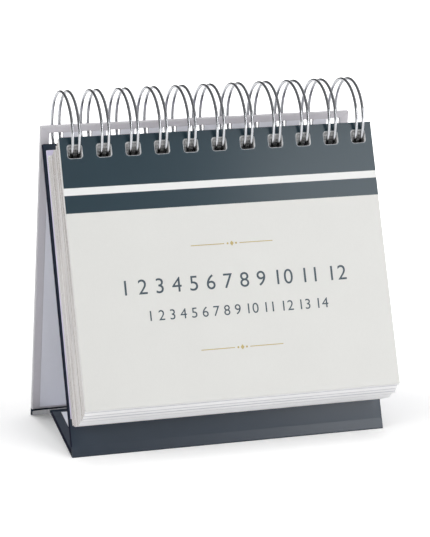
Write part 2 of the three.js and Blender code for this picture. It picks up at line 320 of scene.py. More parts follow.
def paper(name, rgb, rough, mottling, fibre, mottle_scale, coat=0.0, specular=0.4, coat_rough=0.2):
    """Printed or plain paper: faint mottling, long fibres and a fine tooth. mottling is how far its
    colour strays, and fibre the height of its fibres."""
    nodes = Nodes(bpy.data.materials.new(name))
    base = linear(rgb)
    clouds = nodes.noise(mottle_scale, detail=5.0)
    fibres = nodes.noise(FIBRE_SCALE, detail=3.0, rough=0.7, vector=nodes.scaled(FIBRE_STRETCH))
    tooth = nodes.noise(TOOTH_SCALE, detail=2.0, rough=0.6)
    stops = [(0.3, shade(base, 1 - mottling)), (0.7, shade(base, 1 + mottling))]
    return nodes.finish_surface({
        "Base Color": nodes.ramp(nodes.blend(clouds, fibres, FIBRE_SHARE), stops),
        "Roughness": nodes.spread(fibres, rough - SMOOTHER, rough + ROUGHER),
        "Normal": nodes.bump(tooth, fibre * TOOTH_SHARE, nodes.bump(fibres, fibre)),
        "Specular IOR Level": specular,
        "Coat Weight": coat,
        "Coat Roughness": coat_rough,
    })


SPOT_SCALE, SPOT_SHADE, SPOT_SMOOTHER, SPOT_ROUGHER = 420.0, 0.86, 0.04, 0.1
GRAIN_SCALE, GRAIN_HEIGHT = 2600.0, 0.000004


def metal(name, rgb, rough):
    """Drawn wire: bright, with small dulled spots and a very fine unevenness."""
    nodes = Nodes(bpy.data.materials.new(name))
    base = linear(rgb)
    spots = nodes.noise(SPOT_SCALE, detail=4.0, rough=0.65)
    return nodes.finish_surface({
        "Metallic": 1.0,
        "Base Color": nodes.ramp(spots, [(0.35, shade(base, SPOT_SHADE)), (0.65, base)]),
        "Roughness": nodes.spread(spots, rough - SPOT_SMOOTHER, rough + SPOT_ROUGHER),
        "Normal": nodes.bump(nodes.noise(GRAIN_SCALE, detail=2.0), GRAIN_HEIGHT),
    })


# Streaks of the leaves' edges. Between two heights, the edges grow darker by a shift of the streaks
FINE_SCALE, FINE_STRETCH, FINE_HEIGHT = 1900.0, (0.01, 1.0, 0.012), 0.00004
BROAD_SCALE, BROAD_STRETCH = 420.0, (0.03, 1.0, 0.05)
DARK_SHARE = 0.45
THUMBED_FROM, THUMBED_TO, THUMBED_SHIFT = 0.075, 0.118, 0.06


def leaf_edges(name, dark, light, fine_share):
    """Cut edges of the leaves: fine and broad streaks that run along the leaves, darker near the rings,
    where the pages are thumbed."""
    nodes = Nodes(bpy.data.materials.new(name))
    fine = nodes.noise(FINE_SCALE, detail=3.0, rough=0.8, vector=nodes.scaled(FINE_STRETCH, FRONT_LEAN))
    broad = nodes.noise(BROAD_SCALE, detail=2.0, rough=0.6, vector=nodes.scaled(BROAD_STRETCH, FRONT_LEAN))
    place = nodes.add("ShaderNodeSeparateXYZ")
    nodes.link(nodes.coord.outputs["Object"], place.inputs[0])
    thumbed = nodes.spread(place.outputs["Z"], 0.0, THUMBED_SHIFT, THUMBED_FROM, THUMBED_TO)
    streaks = nodes.compute("SUBTRACT", nodes.blend(broad, fine, fine_share), thumbed)
    dark, light = linear(dark), linear(light)
    middle = tuple(a * DARK_SHARE + b * (1 - DARK_SHARE) for a, b in zip(dark, light))
    return nodes.finish_surface({
        "Base Color": nodes.ramp(streaks, [(0.4, dark), (0.49, middle), (0.57, light)]),
        "Roughness": 0.85,
        "Normal": nodes.bump(fine, FINE_HEIGHT),
        "Specular IOR Level": 0.2,
    })


# Painted shade: the leaves' hole walls are painted dark grey, for the shade deep in the holes
HOLE_SHADE_SCALE, HOLE_SHADE_DARK, HOLE_SHADE_LIGHT = 900.0, (30, 32, 34), (62, 62, 60)


def punched_wall(name):
    """Wall of a punched hole, deep in the block: painted dark grey, as painted shade for the shade inside
    the holes.
    """
    nodes = Nodes(bpy.data.materials.new(name))
    stops = [(0.3, linear(HOLE_SHADE_DARK)), (0.7, linear(HOLE_SHADE_LIGHT))]
    return nodes.finish_surface({
        "Base Color": nodes.ramp(nodes.noise(HOLE_SHADE_SCALE, detail=3.0), stops),
        "Roughness": 0.95,
        "Specular IOR Level": 0.1,
    })


# For papers: colour, roughness, mottling, height of the fibres and scale of the mottling
MATERIALS = {
    # Walls of the leaves' holes: dark grey painted shade
    "punched": punched_wall("punched_wall"),
    "slate": paper("slate_paper", (27, 43, 59), 0.46, 0.06, 0.00001, 30, coat=0.6, coat_rough=0.26),
    # Edges of the slate boards, painted darker and more violet than the wrap: painted shade
    "slate_edge": paper("slate_edge_painted_shade", (26, 28, 44), 0.85, 0.15, 0.00002, 400, specular=0.12),
    "floor_edge": paper("floor_paper_edge", (142, 143, 146), 0.8, 0.12, 0.00002, 400, specular=0.15),
    "grey": paper("grey_paper", (217, 214, 219), 0.6, 0.04, 0.000012, 40),
    "grey_edge": paper("grey_paper_edge", (206, 205, 208), 0.65, 0.08, 0.00002, 400),
    "lining": paper("lining_paper", (241, 242, 249), 0.75, 0.02, 0.000014, 40),
    "navy": paper("cover_navy", (16, 45, 57), 0.5, 0.05, 0.000008, 30, coat=0.5),
    "white": paper("cover_white", (233, 234, 233), 0.5, 0.015, 0.000008, 40),
    "offwhite": paper("cover_offwhite", (219, 219, 216), 0.5, 0.02, 0.000008, 40),
    # Pale ring round the cover's holes: painted highlight of the lit cut edge
    "rim": paper("hole_rim_highlight", (196, 200, 204), 0.8, 0.35, 0.00002, 900),
    "card_edge": paper("cover_card_edge", (232, 231, 228), 0.8, 0.05, 0.00002, 300),
    "leaf": paper("leaf_paper", (250, 250, 251), 0.8, 0.02, 0.00001, 60),
    # Grey band on each month's front leaf: painted shadow under the foot of the pack before it
    "leaf_rule": paper("leaf_painted_contact_shadow", (216, 216, 221), 0.8, 0.02, 0.00001, 60),
    "leaf_side": leaf_edges("leaf_side_edges", (142, 131, 124), (216, 211, 206), 0.55),
    "leaf_foot": leaf_edges("leaf_foot_edges", (214, 213, 214), (252, 252, 253), 0.45),
    # Backing card: white card, painted lavender grey as painted shade
    "card": paper("backing_card", (214, 208, 232), 0.75, 0.02, 0.000014, 50),
    "gold": paper("gold_print", (180, 160, 92), 0.38, 0.1, 0.000006, 200, specular=0.7),
    "ink": paper("slate_ink", (66, 80, 90), 0.45, 0.06, 0.000006, 60),
    "wire": metal("silver_wire", (205, 207, 211), 0.14),
}

# Flat meshes, in x across and v down from a sheet's top edge

HOLE_STEPS, LEAF_HOLE_STEPS, COVER_HOLE_STEPS = 4, 2, 6
SIDE_TOLERANCE = 0.01
DIGITS = 4


class Flat:
    """Points and faces of a flat mesh, whose faces share their points."""

    def __init__(self):
        self.points, self.faces, self.index = [], [], {}

    def point(self, x, v):
        key = (round(x, DIGITS), round(v, DIGITS))
        if key not in self.index:
            self.index[key] = len(self.points)
            self.points.append((x, v))
        return self.index[key]

    def add_box(self, left, right, top, foot):
        self.faces.append([self.point(left, top), self.point(right, top),
                           self.point(right, foot), self.point(left, foot)])


def arm(angle, length):
    """How far across and down an arm reaches."""
    return length * math.cos(angle), length * math.sin(angle)


def hole_outline(middle, top, height, width=HOLE_W, corner=HOLE_CORNER, steps=HOLE_STEPS):
    """A punched hole with round corners, as (x, v, turn, across, down): turn is the share of its corner's
    quarter turn that is away from the side, and across and down are the signs of that corner."""
    points = []
    for across, down in ((1, -1), (1, 1), (-1, 1), (-1, -1)):
        corner_x = middle + across * (width / 2 - corner)
        corner_v = top + height / 2 + down * (height / 2 - corner)
        turns = [i / steps for i in range(steps + 1)]
        if across * down < 0:
            turns.reverse()
        for turn in turns:
            arm_x, arm_v = arm(math.pi / 2 * turn, corner)
            points.append((corner_x + across * arm_x, corner_v + down * arm_v, turn, across, down))
    return points


def punched_flat(width, height, hole_top, hole_h, band, rows, steps=HOLE_STEPS):
    """A sheet with a punched row in the band along its top, and plain rows below that."""
    flat = Flat()
    columns = set()
    for i, middle in enumerate(HOLE_CENTRES):
        left = -width / 2 if i == 0 else middle - PITCH / 2
        right = width / 2 if i == HOLES - 1 else middle + PITCH / 2
        inner, outer = [], []
        for x, v, turn, across, down in hole_outline(middle, hole_top, hole_h, steps=steps):
            inner.append(flat.point(x, v))
            side = right if across > 0 else left
            end = band if down > 0 else 0.0
            if turn < 0.5:
                outer.append(flat.point(side, v))
            elif turn > 0.5:
                outer.append(flat.point(x, end))
                columns.add(round(x, DIGITS))
            else:
                outer.append(flat.point(side, end))
                columns.add(round(side, DIGITS))
        for k in range(len(inner)):
            j = (k + 1) % len(inner)
            corners = [inner[k], outer[k], outer[j], inner[j]]
            flat.faces.append(list(dict.fromkeys(corners)))
    columns = sorted(columns)
    levels = [band, *rows, height]
    for top, foot in zip(levels, levels[1:]):
        for left, right in zip(columns, columns[1:]):
            flat.add_box(left, right, top, foot)
    return flat


def plain_flat(left, right, top, foot, columns, rows):
    flat = Flat()
    xs = [left + (right - left) * i / columns for i in range(columns + 1)]
    vs = [top + (foot - top) * j / rows for j in range(rows + 1)]
    for v0, v1 in zip(vs, vs[1:]):
        for x0, x1 in zip(xs, xs[1:]):
            flat.add_box(x0, x1, v0, v1)
    return flat


def notched_flat(left, right, top, foot, notch_foot):
    """A sheet whose top edge is notched by the punched row."""
    flat = Flat()
    cuts = [left]
    for middle in HOLE_CENTRES:
        cuts += [middle - HOLE_W / 2, middle + HOLE_W / 2]
    cuts = [min(max(cut, left), right) for cut in cuts + [right]]
    levels = [top, notch_foot, (notch_foot + foot) / 2, foot]
    for row, (v0, v1) in enumerate(zip(levels, levels[1:])):
        for column, (x0, x1) in enumerate(zip(cuts, cuts[1:])):
            in_hole = row == 0 and column % 2 == 1
            if x1 > x0 and not in_hole:
                flat.add_box(x0, x1, v0, v1)
    return flat


# Mesh helpers

SMOOTH_ANGLE, BEVELLED_SMOOTH_ANGLE = math.radians(35), math.radians(40)
SHARP_ANGLE = math.radians(60)
WELD_DISTANCE = 0.0001


def signed_area(points):
    return sum(cross2(a, b) for a, b in zip(points, points[1:] + points[:1]))


def middle_of(points):
    return [sum(p[k] for p in points) / len(points) for k in (0, 1)]


def index_at(choice, points):
    """A material's index, given as a number or as a function of a face's middle (x, v)."""
    return choice(*middle_of(points)) if callable(choice) else choice


def new_object(name, data):
    obj = bpy.data.objects.new(name, data)
    bpy.context.scene.collection.objects.link(obj)
    return obj


def mesh_object(name, verts, faces, mats, face_mats=None, smooth_angle=SMOOTH_ANGLE):
    """A new object. mats are the keys of its materials, and face_mats are indices into them."""
    mesh = bpy.data.meshes.new(name)
    mesh.from_pydata([tuple(v) for v in verts], [], faces)
    for mat in mats:
        mesh.materials.append(MATERIALS[mat])
    if face_mats:
        mesh.polygons.foreach_set("material_index", face_mats)
    mesh.validate()
    smooth(mesh, smooth_angle)
    return new_object(name, mesh)


def smooth(mesh, angle):
    mesh.polygons.foreach_set("use_smooth", [True] * len(mesh.polygons))
    mesh.set_sharp_from_angle(angle=angle)


def fix_normals(obj):
    bm = bmesh.new()
    bm.from_mesh(obj.data)
    bmesh.ops.recalc_face_normals(bm, faces=bm.faces)
    bm.to_mesh(obj.data)
    bm.free()
    return obj


class Shell:
    """Vertices, faces and material indices of one object, gathered sheet by sheet."""

    def __init__(self):
        self.verts, self.faces, self.mats = [], [], []

    def add_sheet(self, flat, place, front_mat=0, back_mat=0, rim_mat=0):
        """Both faces and the rim of a flat mesh. place(x, v, side) gives metres, side 1 being the front."""
        base, count = len(self.verts), len(flat.points)
        for side in (1, 0):
            self.verts += [place(x, v, side) for x, v in flat.points]
        forwards = signed_area([flat.points[i] for i in flat.faces[0]]) < 0
        edges = {}
        for face in flat.faces:
            ring = face if forwards else face[::-1]
            corners = [flat.points[i] for i in face]
            self.add_face([base + i for i in ring], index_at(front_mat, corners))
            self.add_face([base + i + count for i in reversed(ring)], index_at(back_mat, corners))
            edges.update(dict.fromkeys(zip(ring, ring[1:] + ring[:1])))
        for a, b in edges:
            if (b, a) not in edges:
                self.add_face([base + i for i in (b, a, a + count, b + count)],
                              index_at(rim_mat, [flat.points[a], flat.points[b]]))
        return self

    def add_face(self, face, mat):
        self.faces.append(face)
        self.mats.append(mat)

    def build(self, name, mats):
        return fix_normals(mesh_object(name, self.verts, self.faces, mats, self.mats))


def bevel_rim(obj, width, segments, mat=-1):
    """Rounds an object's sharp edges, in their own material or in the one at the index mat."""
    bm = bmesh.new()
    bm.from_mesh(obj.data)
    bmesh.ops.remove_doubles(bm, verts=bm.verts, dist=WELD_DISTANCE * MM)
    sharp = [e for e in bm.edges if len(e.link_faces) == 2 and e.calc_face_angle(0) > SHARP_ANGLE]
    bmesh.ops.bevel(bm, geom=sharp, offset=width * MM, segments=segments, profile=0.5, affect="EDGES",
                    clamp_overlap=True, material=mat)
    bm.normal_update()
    bm.to_mesh(obj.data)
    bm.free()
    smooth(obj.data, BEVELLED_SMOOTH_ANGLE)


# Stand

# Turn-ins: how wide they are, how far in from the board's edge, how thick and how deep in the slab
TALL_BORDER, FLOOR_BORDER = 3.2, 3.6
LIP_INSET, LIP_T, LIP_SUNK = 0.3, 0.14, 0.05
LIP_ABOVE_HOLES, MITRE_GAP = 0.25, 0.15

# Linings: how far they stop from a fold and from a turn-in, and how far they lie below its face
FOLD_MARGIN, LINING_GAP, LINING_BELOW_LIP = 1.2, 0.2, 0.03

SLAB_ROUND, SLAB_ROUND_STEPS = 0.32, 3
LIP_ROUND, LIP_ROUND_STEPS = 0.04, 1
BAND_BELOW_HOLES = 1.6
SLAB_COLUMNS, LINING_COLUMNS, BOARD_ROWS = 12, 10, 3


class Board:
    """A covered board: rounded slab, turned-in lips with mitred corners, and the lining between them.
    At a fold the wrap goes on to the next board, so it has no lip there."""

    def __init__(self, name, body, run, start, end, border, wrap, holes=None, edge=None):
        """start and end are along the run. wrap and edge are keys of materials."""
        self.name, self.body = name, body
        self.run, self.end, self.length = run, end, end - start
        # For the slate boards, the edge material is a darker painted shade of the wrap
        self.wrap, self.edge = wrap, edge or f"{wrap}_edge"
        self.holes = holes
        side = BOARD_W / 2 - LIP_INSET
        self.left, self.right = -side, side
        self.top, self.foot = LIP_INSET, self.length - LIP_INSET
        self.lining_left, self.lining_right = -side + border, side - border
        self.lining_top = self.top
        if holes:
            self.lining_top += min(border, holes[0] - LIP_ABOVE_HOLES)

    def place(self, rear_depth, front_depth):
        """place(x, v down from the board's far end, side) of a layer between two depths in the board."""
        depths = (rear_depth, front_depth)

        def placed(x, v, side):
            return world(x, self.run.at(self.end - v, depths[side]))

        return placed

    def add_slab(self):
        """The board in its wrap, in one rounded piece, whose side edges have a material of their own."""
        if self.holes:
            band = sum(self.holes) + BAND_BELOW_HOLES
            flat = punched_flat(BOARD_W, self.length, *self.holes, band, [self.length / 2])
        else:
            flat = plain_flat(-BOARD_W / 2, BOARD_W / 2, 0, self.length, SLAB_COLUMNS, BOARD_ROWS)

        def side_rim(x, v):
            return 1 if abs(x) > BOARD_W / 2 - SIDE_TOLERANCE else 0

        shell = Shell().add_sheet(flat, self.place(BOARD_T - LIP_T, 0.0), rim_mat=side_rim)
        slab = shell.build(f"{self.name}_covered", [self.wrap, self.edge])
        bevel_rim(slab, SLAB_ROUND, SLAB_ROUND_STEPS, 1)
        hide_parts(f"{self.name}_board", f"{self.name}_wrap")
        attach(slab, self.body)

    def add_lips(self):
        """Strips at the sides, and along the top where the board has holes, cut at 45 degrees."""
        gap = MITRE_GAP
        strips = [
            [(self.right, self.top + gap), (self.right, self.foot - gap),
             (self.lining_right, self.foot - gap), (self.lining_right, self.lining_top + gap)],
            [(self.left, self.foot - gap), (self.left, self.top + gap),
             (self.lining_left, self.lining_top + gap), (self.lining_left, self.foot - gap)],
        ]
        if self.holes:
            strips.append([(self.left + gap, self.top), (self.right - gap, self.top),
                           (self.lining_right - gap, self.lining_top),
                           (self.lining_left + gap, self.lining_top)])
        shell = Shell()
        for strip in strips:
            flat = Flat()
            flat.faces.append([flat.point(*corner) for corner in strip])
            shell.add_sheet(flat, self.place(BOARD_T - LIP_T - LIP_SUNK, BOARD_T), rim_mat=1)
        lips = shell.build(f"{self.name}_turn_in", [self.wrap, self.edge])
        bevel_rim(lips, LIP_ROUND, LIP_ROUND_STEPS, 1)
        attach(lips, self.body)

    def add_lining(self):
        """The lining, notched by the punched row where the board has one."""
        left, right = self.lining_left + LINING_GAP, self.lining_right - LINING_GAP
        foot = self.length - FOLD_MARGIN
        if self.holes:
            top = max(self.lining_top + LINING_GAP, self.holes[0])
            flat = notched_flat(left, right, top, foot, sum(self.holes))
        else:
            flat = plain_flat(left, right, FOLD_MARGIN, foot, LINING_COLUMNS, BOARD_ROWS)
        place = self.place(BOARD_T - LIP_T - LIP_SUNK, BOARD_T - LINING_BELOW_LIP)
        lining = Shell().add_sheet(flat, place).build(f"{self.name}_lining_sheet", ["lining"])
        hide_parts(f"{self.name}_lining")
        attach(lining, self.body)


boards = [
    Board("front_panel", "stand_front", front, front.along(FRONT_CREASE) + CORNER_GAP, front.length,
          TALL_BORDER, "slate", FRONT_HOLES),
    Board("back_panel", "stand_back", rear, rear.along(REAR_CREASE) + CORNER_GAP, rear.length,
          TALL_BORDER, "grey", REAR_HOLES),
    Board("floor_front", "stand_floor_front", floor_front, floor_front.along(FRONT_CREASE) + CORNER_GAP,
          floor_front.along(RIDGE_CREASE) - RIDGE_GAP, FLOOR_BORDER, "slate"),
    Board("floor_rear", "stand_floor_rear", floor_rear, floor_rear.along(REAR_CREASE) + CORNER_GAP,
          floor_rear.along(RIDGE_CREASE) - RIDGE_GAP, FLOOR_BORDER, "slate", edge="floor_edge"),
]
for board in boards:
    board.add_slab()
    board.add_lips()
    board.add_lining()

# Folds of the wrap

FOLD_COLUMNS, CORNER_STEPS, RIDGE_STEPS = 24, 16, 8

# The paper's outer face lies a little proud of the boards, its inner face deeper, and its ends inset
PROUD, CORNER_DEEP, RIDGE_DEEP, FOLD_INSET = 0.02, 0.4, 0.45, 0.05

# How far the outer and the inner face run on past the crease, and the straight start of a bend
CORNER_LEADS, CORNER_EASE = (1.9, 0.9), 0.15
RIDGE_LEADS = (RIDGE_GAP + 0.9, RIDGE_GAP - 0.1)

# How far from the crease each end of the strip lies, on its own board
CORNER_BLEND, RIDGE_BLEND = 0.4, 0.8

# The ground, where both corner folds are pressed flat, and the share of its thickness the paper keeps there
CORNER_MIDDLES = fold_axis(front, floor_front, FOLD_R), fold_axis(rear, floor_rear, FOLD_R)
GROUND = min(middle[1] for middle in CORNER_MIDDLES) - FOLD_R + LAND_DEPTH
PRESSED_SHARE = 0.5


def fold_paper(name, node, outside, inside, ends):
    """A bent strip of paper across the whole width, from its two profiles. The ends are not used."""
    profile = list(outside) + list(reversed(inside))
    rows = len(profile)
    half = BOARD_W / 2 - FOLD_INSET
    verts, faces = [], []
    for column in range(FOLD_COLUMNS + 1):
        x = half * (2 * column / FOLD_COLUMNS - 1)
        verts += [world(x, p) for p in profile]
    for column in range(FOLD_COLUMNS):
        here, there = column * rows, (column + 1) * rows
        for row in range(rows):
            after = (row + 1) % rows
            faces.append([here + row, here + after, there + after, there + row])
    faces.append(list(range(rows)))
    faces.append([FOLD_COLUMNS * rows + row for row in reversed(range(rows))])
    fold = fix_normals(mesh_object(name, verts, faces, ["slate"]))
    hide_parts(node)
    near, far = (world(0, p) for p in ends)
    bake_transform(fold)


def corner_fold(name, node, crease, a, b):
    """Paper round a lower corner, from board a to board b: a tight bend, pressed flat where it stands."""
    centre = fold_axis(a, b, FOLD_R)
    start, stop = (math.atan2(-run.inward[1], -run.inward[0]) for run in (a, b))
    sweep = math.remainder(stop - start, 2 * math.pi)
    outer_r = FOLD_R + PROUD

    def arc(radius):
        points = []
        for i in range(CORNER_STEPS + 1):
            p = centre + polar(start + sweep * i / CORNER_STEPS) * radius
            p[1] = max(p[1], GROUND + (outer_r - radius) * PRESSED_SHARE)
            points.append(p)
        return points

    def reach(p, run, lead):
        """The point moved along its board's run, to the lead past the crease."""
        return p + run.dir * (run.along(crease) + lead - run.along(p))

    def with_leads(bend, lead):
        first, last = bend[0] + a.dir * CORNER_EASE, bend[-1] + b.dir * CORNER_EASE
        return [reach(bend[0], a, lead), first, *bend, last, reach(bend[-1], b, lead)]

    outside = with_leads(arc(outer_r), CORNER_LEADS[0])
    inside = with_leads(arc(FOLD_R - CORNER_DEEP), CORNER_LEADS[1])
    ends = reach(outside[0], a, CORNER_BLEND), reach(outside[-1], b, CORNER_BLEND)
    fold_paper(name, node, outside, inside, ends)


def ridge_fold():
    """Paper that bridges the two floor boards, a soft V."""
    runs = floor_front, floor_rear

    def profile(depth, lead):
        peak = fold_axis(*runs, depth)
        left, right = (run.at(run.along(RIDGE_CREASE) - lead, depth) for run in runs)
        shares = [i / RIDGE_STEPS for i in range(RIDGE_STEPS + 1)]
        return [left.lerp(peak, t).lerp(peak.lerp(right, t), t) for t in shares]

    ends = [run.at(run.along(RIDGE_CREASE) - RIDGE_BLEND, 0) for run in runs]
    outside, inside = profile(-PROUD, RIDGE_LEADS[0]), profile(RIDGE_DEEP, RIDGE_LEADS[1])
    fold_paper("ridge_paper", "ridge_fold", outside, inside, ends)


corner_fold("front_corner_paper", "front_fold", FRONT_CREASE, front, floor_front)
corner_fold("rear_corner_paper", "rear_fold", REAR_CREASE, floor_rear, rear)
ridge_fold()

# Sheets on the wire. The band is the part of a sheet's mesh that holds its punched row

SHEET_BAND = 12.4


def punched_sheet(rows, steps=HOLE_STEPS):
    return punched_flat(SHEET_W, SHEET_H, SHEET_HOLE_TOP, SHEET_HOLE_H, SHEET_BAND, rows, steps)


def hole_height(near, far):
    """Height of a hanging sheet's hole tops: just clear of the wire on both faces."""
    clear = RING_R - WIRE_R - WIRE_CLEARANCE
    return max(RING_UP - math.sqrt(clear ** 2 - (face - RING_AHEAD) ** 2) for face in (near, far))


def hang(holes_at, foot_at, thick, foot_thick, height, across=0.0, down=0.0, bend=None):
    """place(x, v, side) of a sheet that hangs with its hole tops at a height. Its rear face is holes_at
    forward of the front board at the holes, and foot_at at its foot."""
    top = height + SHEET_HOLE_TOP
    tilt = math.atan2(foot_at - holes_at, SHEET_H - SHEET_HOLE_TOP)
    cos_tilt, sin_tilt = math.cos(tilt), math.sin(tilt)

    def place(x, v, side):
        forward = side * thick * (1 + v / SHEET_H * (foot_thick / thick - 1))
        if bend:
            forward += bend(x, v)
        back, up = -forward, -(v + down)
        tilted_back = back * cos_tilt + up * sin_tilt
        tilted_up = up * cos_tilt - back * sin_tilt
        return world(x + across, on_front(holes_at - tilted_back, top + tilted_up))

    return place


# Leaves: each month is a few thin layers with slightly uneven edges

LAYERS = 8
LEAF_SEED = 7
PACK_GAP = 0.12
PACK_UNEVEN, LAYER_UNEVEN_ACROSS, LAYER_UNEVEN_DOWN = 0.12, 0.1, 0.06

# A layer's thickness as a share of its pitch, at the holes and at the foot
LAYER_SHARE = (0.9, 0.86)

# The painted shadow on a month's front leaf, a grey band for the shade under the foot of the pack before
# it: how far it reaches above and below that foot, and its least distance from the leaf's own foot
SHADOW_ABOVE, SHADOW_BELOW, LEAST_DROP = 0.15, 0.35, 0.9

LEAF_MATS = ["leaf", "leaf_side", "punched", "leaf_foot", "leaf_rule"]
PACK_STEP = [(front_at - rear_at) / MONTHS for front_at, rear_at in zip(BLOCK_FRONT, BLOCK_REAR)]

flat_leaf = punched_sheet([SHEET_H / 2], LEAF_HOLE_STEPS)
draws = random.Random(LEAF_SEED)


def leaf_rim(x, v):
    """Material of a leaf's rim: its side edges, its foot and top, or the walls of its punched holes."""
    if abs(x) > SHEET_W / 2 - SIDE_TOLERANCE:
        return LEAF_MATS.index("leaf_side")
    at_end = v < SIDE_TOLERANCE or v > SHEET_H - SIDE_TOLERANCE
    return LEAF_MATS.index("leaf_foot" if at_end else "punched")


def pack_height(month):
    """Height of a month's hole tops. The block's grip holds them up, most in its middle. Month 0 is the
    cover."""
    if month == 0:
        return hole_height(BLOCK_FRONT[0], BLOCK_FRONT[0] + COVER_T)
    rear_at = BLOCK_REAR[0] + (MONTHS - month) * PACK_STEP[0]
    share = (MONTHS - month + 0.5) / MONTHS
    return hole_height(rear_at, rear_at + PACK_STEP[0]) + BLOCK_GRIP * 4 * share * (1 - share)


def month_pack(month):
    """A month of leaves. Its front leaf has a faint grey band of painted shadow, where the pack before it
    ends.
    """
    name = f"leaves_month_{month:02d}"
    drop = max(LEAST_DROP, pack_height(month - 1) - pack_height(month))
    shadow_top, shadow_foot = SHEET_H - drop - SHADOW_ABOVE, SHEET_H - drop + SHADOW_BELOW
    shadowed_leaf = punched_sheet([SHEET_H / 2, shadow_top, shadow_foot], LEAF_HOLE_STEPS)

    def ruled(x, v):
        return LEAF_MATS.index("leaf_rule" if shadow_top < v < shadow_foot else "leaf")

    rear_at = [at + (MONTHS - month) * step for at, step in zip(BLOCK_REAR, PACK_STEP)]
    pitch = [(step - PACK_GAP) / LAYERS for step in PACK_STEP]
    thick = [pitch[end] * LAYER_SHARE[end] for end in (0, 1)]
    pack_across, pack_down = draws.gauss(0, PACK_UNEVEN), draws.gauss(0, PACK_UNEVEN)
    shell = Shell()
    for layer in range(LAYERS):
        across = pack_across + draws.gauss(0, LAYER_UNEVEN_ACROSS)
        down = pack_down + draws.gauss(0, LAYER_UNEVEN_DOWN)
        holes_at, foot_at = (rear_at[end] + layer * pitch[end] for end in (0, 1))
        place = hang(holes_at, foot_at, *thick, pack_height(month), across, down)
        if layer == LAYERS - 1:
            shell.add_sheet(shadowed_leaf, place, ruled, 0, leaf_rim)
        else:
            shell.add_sheet(flat_leaf, place, 0, 0, leaf_rim)
    pack = shell.build(f"{name}_stack", LEAF_MATS)
    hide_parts(name)
    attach(pack, f"month_{month:02d}")


for month in range(1, MONTHS + 1):
    month_pack(month)

# Backing card

CARD_ROW = 60.0
CARD_ROUND, CARD_ROUND_STEPS = 0.12, 2


def backing_card():
    """The stiff card against the front board, pushed up until the wire is low in its holes."""
    holes_at = BLOCK_REAR[0] - CARD_GAP_AT_HOLES - CARD_T
    lift = (SHEET_HOLE_H - 2 * WIRE_R - WIRE_CLEARANCE - CARD_LIFT_IN_HOLE) / 2
    height = hole_height(holes_at, holes_at + CARD_T) + lift
    place = hang(holes_at, CARD_GAP_AT_FOOT, CARD_T, CARD_T, height)
    card = Shell().add_sheet(punched_sheet([CARD_ROW]), place).build("backing_card_white", ["card"])
    bevel_rim(card, CARD_ROUND, CARD_ROUND_STEPS)
    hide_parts("backing_card")
    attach(card, "stand_front")


backing_card()

# Cover. Its head is navy down to a white stripe, and below that is a navy band

HEAD_FOOT, STRIPE_FOOT, BAND_FOOT = 21.5, 24.6, 32.1
CURL_ROW, BODY_ROWS = 16.0, 9
COVER_MATS = ["navy", "card_edge", "white", "offwhite"]

# The curl's height, how far left of the middle it starts, and how far it spreads
CURL, CURL_FROM, CURL_ACROSS, CURL_DOWN = 0.5, 45, 25, 30


def cover_bend(x, v):
    """The cover's upper left corner curls forwards a little."""
    return CURL * max(0.0, (-x - CURL_FROM) / CURL_ACROSS) ** 2 * max(0.0, 1 - v / CURL_DOWN) ** 2


def cover_print(x, v):
    """Material of the cover's front face."""
    if v < HEAD_FOOT or STRIPE_FOOT < v < BAND_FOOT:
        return COVER_MATS.index("navy")
    return COVER_MATS.index("white" if v < STRIPE_FOOT else "offwhite")


cover_place = hang(*BLOCK_FRONT, COVER_T, COVER_T, pack_height(0), bend=cover_bend)


def cover_sheet():
    rows = [CURL_ROW, HEAD_FOOT, STRIPE_FOOT, BAND_FOOT]
    rows += [BAND_FOOT + (SHEET_H - BAND_FOOT) * i / BODY_ROWS for i in range(1, BODY_ROWS)]
    flat = punched_sheet(rows, COVER_HOLE_STEPS)
    back, rim = COVER_MATS.index("white"), COVER_MATS.index("card_edge")
    cover = Shell().add_sheet(flat, cover_place, cover_print, back, rim).build("cover_print", COVER_MATS)
    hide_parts("cover_sheet")
    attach(cover, "cover")


cover_sheet()

# Print on the cover, and the painted highlight round its holes

PRINT_PROUD = 0.03
# Width of the painted highlight round each hole, and how far proud of the cover it lies
HOLE_HIGHLIGHT_W, HOLE_HIGHLIGHT_PROUD = 0.18, 0.01
RULE_MIDDLES = ((0.9, 48.9), (0.8, 93.1))
RULE_HALF_W, RULE_HALF_T, RULE_GAP = 18.3, 0.17, 3.4
DOT_ASIDE, DOT_R, DOT_SIDES = 1.9, 0.45, 16
DIAMOND_HALF_W, DIAMOND_HALF_H = 0.85, 1.1


def on_cover(x, v, proud):
    """Point just in front of the cover's front face."""
    face = cover_place(x, v, 1)
    outward = (face - cover_place(x, v, 0)).normalized()
    return face + outward * proud * MM


def printed(name, verts, faces, mat):
    """A thin layer that rides on the cover: print, and the painted highlight round the holes."""
    obj = mesh_object(name, verts, faces, [mat])
    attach(obj, "cover")


def printed_shapes(name, shapes, mat, proud):
    """Flat shapes on the cover, of print and of painted highlight, each a list of (x, v) corners."""
    verts, faces = [], []
    for shape in shapes:
        faces.append([len(verts) + i for i in range(len(shape))])
        verts += [on_cover(x, v, proud) for x, v in shape]
    printed(name, verts, faces, mat)


def rule_shapes(x, v):
    """A rule with a diamond between two dots in its middle."""
    shapes = []
    for side in (-1, 1):
        inner, outer = x + side * RULE_GAP, x + side * RULE_HALF_W
        above, below = v - RULE_HALF_T, v + RULE_HALF_T
        shapes.append([(inner, above), (outer, above), (outer, below), (inner, below)])
    for side in (-1, 1):
        arms = [arm(2 * math.pi * t / DOT_SIDES, DOT_R) for t in range(DOT_SIDES)]
        shapes.append([(x + side * DOT_ASIDE + arm_x, v + arm_v) for arm_x, arm_v in arms])
    shapes.append([(x - DIAMOND_HALF_W, v), (x, v - DIAMOND_HALF_H),
                   (x + DIAMOND_HALF_W, v), (x, v + DIAMOND_HALF_H)])
    return shapes


